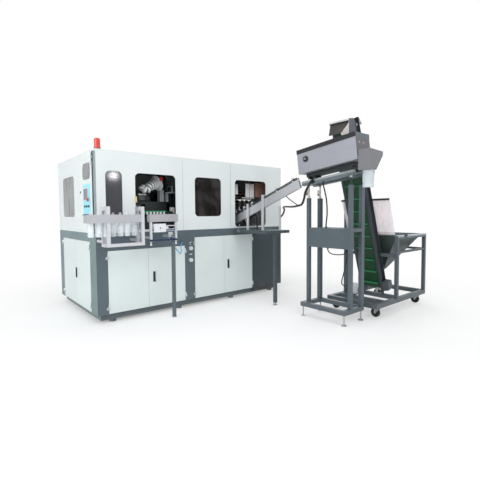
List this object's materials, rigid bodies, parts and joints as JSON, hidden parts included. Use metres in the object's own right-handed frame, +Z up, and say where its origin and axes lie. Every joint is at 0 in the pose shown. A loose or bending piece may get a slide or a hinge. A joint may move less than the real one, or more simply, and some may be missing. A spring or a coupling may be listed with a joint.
{
  "type": "blow moulding machine",
  "caption": "Guarded bottle blow moulding machine with outfeed rail, infeed table and chute, preform sorter on a stand and a rolling bucket elevator with hopper.",
  "frame": {"origin": "centre of the whole line's footprint, on the floor", "axes": "+X along the cabinet's front towards the elevator, +Y from the stand towards the cabinet's rear, +Z up"},
  "size_m": [4.005, 3.69, 2.3798],
  "materials": {
    "base_grey": "satin",
    "hinge_steel": "satin",
    "frame_dark": "satin",
    "guard_white": "satin",
    "door_pale": "satin",
    "tinted_pane": "glossy",
    "beacon_red": "glossy",
    "gauge_white": "glossy",
    "black_plastic": "matte",
    "panel_cyan": "satin",
    "stop_red": "glossy",
    "start_green": "glossy",
    "frame_aluminium": "satin",
    "rail_steel": "brushed",
    "bottle_clear": "glossy",
    "table_dark": "satin",
    "machine_green": "satin",
    "mould_aluminium": "machined",
    "oven_red": "satin",
    "blower_grey": "satin",
    "stand_grey": "satin",
    "trough_steel": "brushed",
    "roller_chrome": "polished",
    "motor_grey": "satin",
    "belt_green": "matte",
    "shaft_steel": "satin",
    "bin_green": "satin",
    "clear_sheet": "glossy",
    "wheel_rubber": "matte",
    "cable_black": "matte"
  },
  "bodies": {
    "machine": {"base_frame": "base_grey", "door_hinges": "hinge_steel", "upper_frame": "frame_dark", "front_guards": "guard_white", "left_end_guard": "guard_white", "rear_guards": "guard_white", "roof_panel": "guard_white", "window_panes": "tinted_pane", "warning_beacon": "beacon_red", "air_gauges": "gauge_white", "outfeed_frame": "frame_aluminium", "bottle_rail": "rail_steel", "bottles": "bottle_clear", "discharge_frame": "frame_aluminium", "infeed_table": "table_dark", "preform_chute": "rail_steel", "clamp_frame": "machine_green", "oven": "oven_red", "blower": "blower_grey", "stand_frame": "stand_grey", "sorter_trough": "trough_steel", "sorter_motor": "motor_grey", "elevator_frame": "stand_grey", "elevator_belt": "belt_green", "hopper_bin": "bin_green", "guard_sheets": "clear_sheet", "cables": "cable_black"},
    "door_a_left_body": {"door_a_left": "door_pale"},
    "door_a_right_body": {"door_a_right": "door_pale"},
    "door_b_left_body": {"door_b_left": "door_pale"},
    "door_b_right_body": {"door_b_right": "door_pale"},
    "end_door_near_body": {"end_door_near": "door_pale"},
    "end_door_far_body": {"end_door_far": "door_pale"},
    "door_a_handle_body": {"door_a_handle": "black_plastic"},
    "door_b_handle_body": {"door_b_handle": "black_plastic"},
    "end_door_handle_body": {"end_door_handle": "black_plastic"},
    "mould_door_body": {"mould_door": "guard_white", "mould_door_pane": "tinted_pane"},
    "control_door_body": {"control_door": "guard_white", "control_door_pane": "tinted_pane", "operator_panel": "panel_cyan"},
    "emergency_stop_body": {"emergency_stop": "stop_red"},
    "start_button_body": {"start_button": "start_green"},
    "stop_button_body": {"stop_button": "black_plastic"},
    "reset_button_body": {"reset_button": "black_plastic"},
    "regulator_knob_body": {"regulator_knob": "black_plastic"},
    "discharge_slide_body": {"discharge_slide": "mould_aluminium"},
    "mould_near_body": {"mould_near": "mould_aluminium"},
    "mould_far_body": {"mould_far": "mould_aluminium"},
    "spindle_wheel_body": {"spindle_wheel": "mould_aluminium"},
    "sorter_roller_left_body": {"sorter_roller_left": "roller_chrome"},
    "sorter_roller_right_body": {"sorter_roller_right": "roller_chrome"},
    "head_pulley_body": {"head_pulley": "shaft_steel"},
    "tail_pulley_body": {"tail_pulley": "shaft_steel"},
    "caster_fork_left_body": {"caster_fork_left": "shaft_steel"},
    "wheel_near_left_body": {"caster_wheel_near_left": "wheel_rubber"},
    "wheel_far_left_body": {"caster_wheel_far_left": "wheel_rubber"},
    "caster_fork_right_body": {"caster_fork_right": "shaft_steel"},
    "wheel_near_right_body": {"caster_wheel_near_right": "wheel_rubber"},
    "wheel_far_right_body": {"caster_wheel_far_right": "wheel_rubber"}
  },
  "joints": [
    {"name": "door_a_left_hinge", "type": "hinge", "parent": "machine", "child": "door_a_left_body", "pos_m": [-1.6825, 0.2765, 0.48], "axis": [0, 0, -1], "range_deg": [0, 105]},
    {"name": "door_a_right_hinge", "type": "hinge", "parent": "machine", "child": "door_a_right_body", "pos_m": [-0.6475, 0.2765, 0.48], "axis": [0, 0, 1], "range_deg": [0, 26]},
    {"name": "door_b_left_hinge", "type": "hinge", "parent": "machine", "child": "door_b_left_body", "pos_m": [-0.4925, 0.2765, 0.53], "axis": [0, 0, -1], "range_deg": [0, 100]},
    {"name": "door_b_right_hinge", "type": "hinge", "parent": "machine", "child": "door_b_right_body", "pos_m": [0.5625, 0.2765, 0.53], "axis": [0, 0, 1], "range_deg": [0, 90]},
    {"name": "end_door_near_hinge", "type": "hinge", "parent": "machine", "child": "end_door_near_body", "pos_m": [-1.821, 0.505, 0.53], "axis": [0, 0, 1], "range_deg": [0, 105]},
    {"name": "end_door_far_hinge", "type": "hinge", "parent": "machine", "child": "end_door_far_body", "pos_m": [-1.821, 1.673, 0.53], "axis": [0, 0, -1], "range_deg": [0, 105]},
    {"name": "door_a_handle_pivot", "type": "hinge", "parent": "door_a_right_body", "child": "door_a_handle_body", "pos_m": [-1.1005, 0.278, 0.423], "axis": [1, 0, 0], "range_deg": [0, 40]},
    {"name": "door_b_handle_pivot", "type": "hinge", "parent": "door_b_right_body", "child": "door_b_handle_body", "pos_m": [0.0895, 0.278, 0.473], "axis": [1, 0, 0], "range_deg": [0, 40]},
    {"name": "end_door_handle_pivot", "type": "hinge", "parent": "end_door_near_body", "child": "end_door_handle_body", "pos_m": [-1.8195, 1.059, 0.463], "axis": [0, -1, 0], "range_deg": [0, 40]},
    {"name": "mould_door_pivot", "type": "hinge", "parent": "machine", "child": "mould_door_body", "pos_m": [0.1285, 0.297, 1.045], "axis": [0, 0, 1], "range_deg": [0, 85]},
    {"name": "control_door_hinge", "type": "hinge", "parent": "machine", "child": "control_door_body", "pos_m": [-1.821, 0.361, 1.5], "axis": [0, 0, 1], "range_deg": [0, 95]},
    {"name": "emergency_stop_press", "type": "slide", "parent": "control_door_body", "child": "emergency_stop_body", "axis": [1, 0, 0], "range_m": [0, 0.004], "stiffness_N_per_m": 400},
    {"name": "start_button_press", "type": "slide", "parent": "control_door_body", "child": "start_button_body", "axis": [1, 0, 0], "range_m": [0, 0.004], "stiffness_N_per_m": 200},
    {"name": "stop_button_press", "type": "slide", "parent": "control_door_body", "child": "stop_button_body", "axis": [1, 0, 0], "range_m": [0, 0.004], "stiffness_N_per_m": 200},
    {"name": "reset_button_press", "type": "slide", "parent": "control_door_body", "child": "reset_button_body", "axis": [1, 0, 0], "range_m": [0, 0.004], "stiffness_N_per_m": 200},
    {"name": "regulator_knob_turn", "type": "hinge", "parent": "machine", "child": "regulator_knob_body", "pos_m": [-0.5625, 0.245, 0.868], "axis": [0, -1, 0], "range_deg": [0, 300]},
    {"name": "discharge_slide_travel", "type": "slide", "parent": "machine", "child": "discharge_slide_body", "axis": [1, 0, 0], "range_m": [0, 0.085]},
    {"name": "mould_near_slide", "type": "slide", "parent": "machine", "child": "mould_near_body", "axis": [0, 1, 0], "range_m": [0, 0.06]},
    {"name": "mould_far_slide", "type": "slide", "parent": "machine", "child": "mould_far_body", "axis": [0, -1, 0], "range_m": [0, 0.06]},
    {"name": "spindle_wheel_turn", "type": "hinge", "parent": "machine", "child": "spindle_wheel_body", "pos_m": [0.5175, 0.615, 1.2], "axis": [0, 0, 1], "continuous": true},
    {"name": "sorter_roller_left_turn", "type": "hinge", "parent": "machine", "child": "sorter_roller_left_body", "pos_m": [0.2975, -1.29635, 1.9571], "axis": [0, 0.9933, -0.1158], "continuous": true},
    {"name": "sorter_roller_right_turn", "type": "hinge", "parent": "machine", "child": "sorter_roller_right_body", "pos_m": [0.3775, -1.29635, 1.9571], "axis": [0, 0.9933, -0.1158], "continuous": true},
    {"name": "head_pulley_turn", "type": "hinge", "parent": "machine", "child": "head_pulley_body", "pos_m": [0.62386, -1.305, 2.27906], "axis": [0, 1, 0], "continuous": true},
    {"name": "tail_pulley_turn", "type": "hinge", "parent": "machine", "child": "tail_pulley_body", "pos_m": [1.30006, -1.305, 0.31521], "axis": [0, 1, 0], "continuous": true},
    {"name": "caster_swivel_left", "type": "hinge", "parent": "machine", "child": "caster_fork_left_body", "pos_m": [0.8775, -1.602, 0.13], "axis": [0, 0, 1], "continuous": true},
    {"name": "wheel_near_left_roll", "type": "hinge", "parent": "caster_fork_left_body", "child": "wheel_near_left_body", "pos_m": [0.8775, -1.576, 0.055], "axis": [1, 0, 0], "continuous": true},
    {"name": "wheel_far_left_roll", "type": "hinge", "parent": "machine", "child": "wheel_far_left_body", "pos_m": [0.8775, -1.023, 0.055], "axis": [1, 0, 0], "continuous": true},
    {"name": "caster_swivel_right", "type": "hinge", "parent": "machine", "child": "caster_fork_right_body", "pos_m": [1.9325, -1.602, 0.13], "axis": [0, 0, 1], "continuous": true},
    {"name": "wheel_near_right_roll", "type": "hinge", "parent": "caster_fork_right_body", "child": "wheel_near_right_body", "pos_m": [1.9325, -1.576, 0.055], "axis": [1, 0, 0], "continuous": true},
    {"name": "wheel_far_right_roll", "type": "hinge", "parent": "machine", "child": "wheel_far_right_body", "pos_m": [1.9325, -1.023, 0.055], "axis": [1, 0, 0], "continuous": true}
  ],
  "couplings": [
    {"joint": "mould_far_slide", "follows": "mould_near_slide", "ratio": 1},
    {"joint": "sorter_roller_right_turn", "follows": "sorter_roller_left_turn", "ratio": -1},
    {"joint": "tail_pulley_turn", "follows": "head_pulley_turn", "ratio": 1}
  ]
}
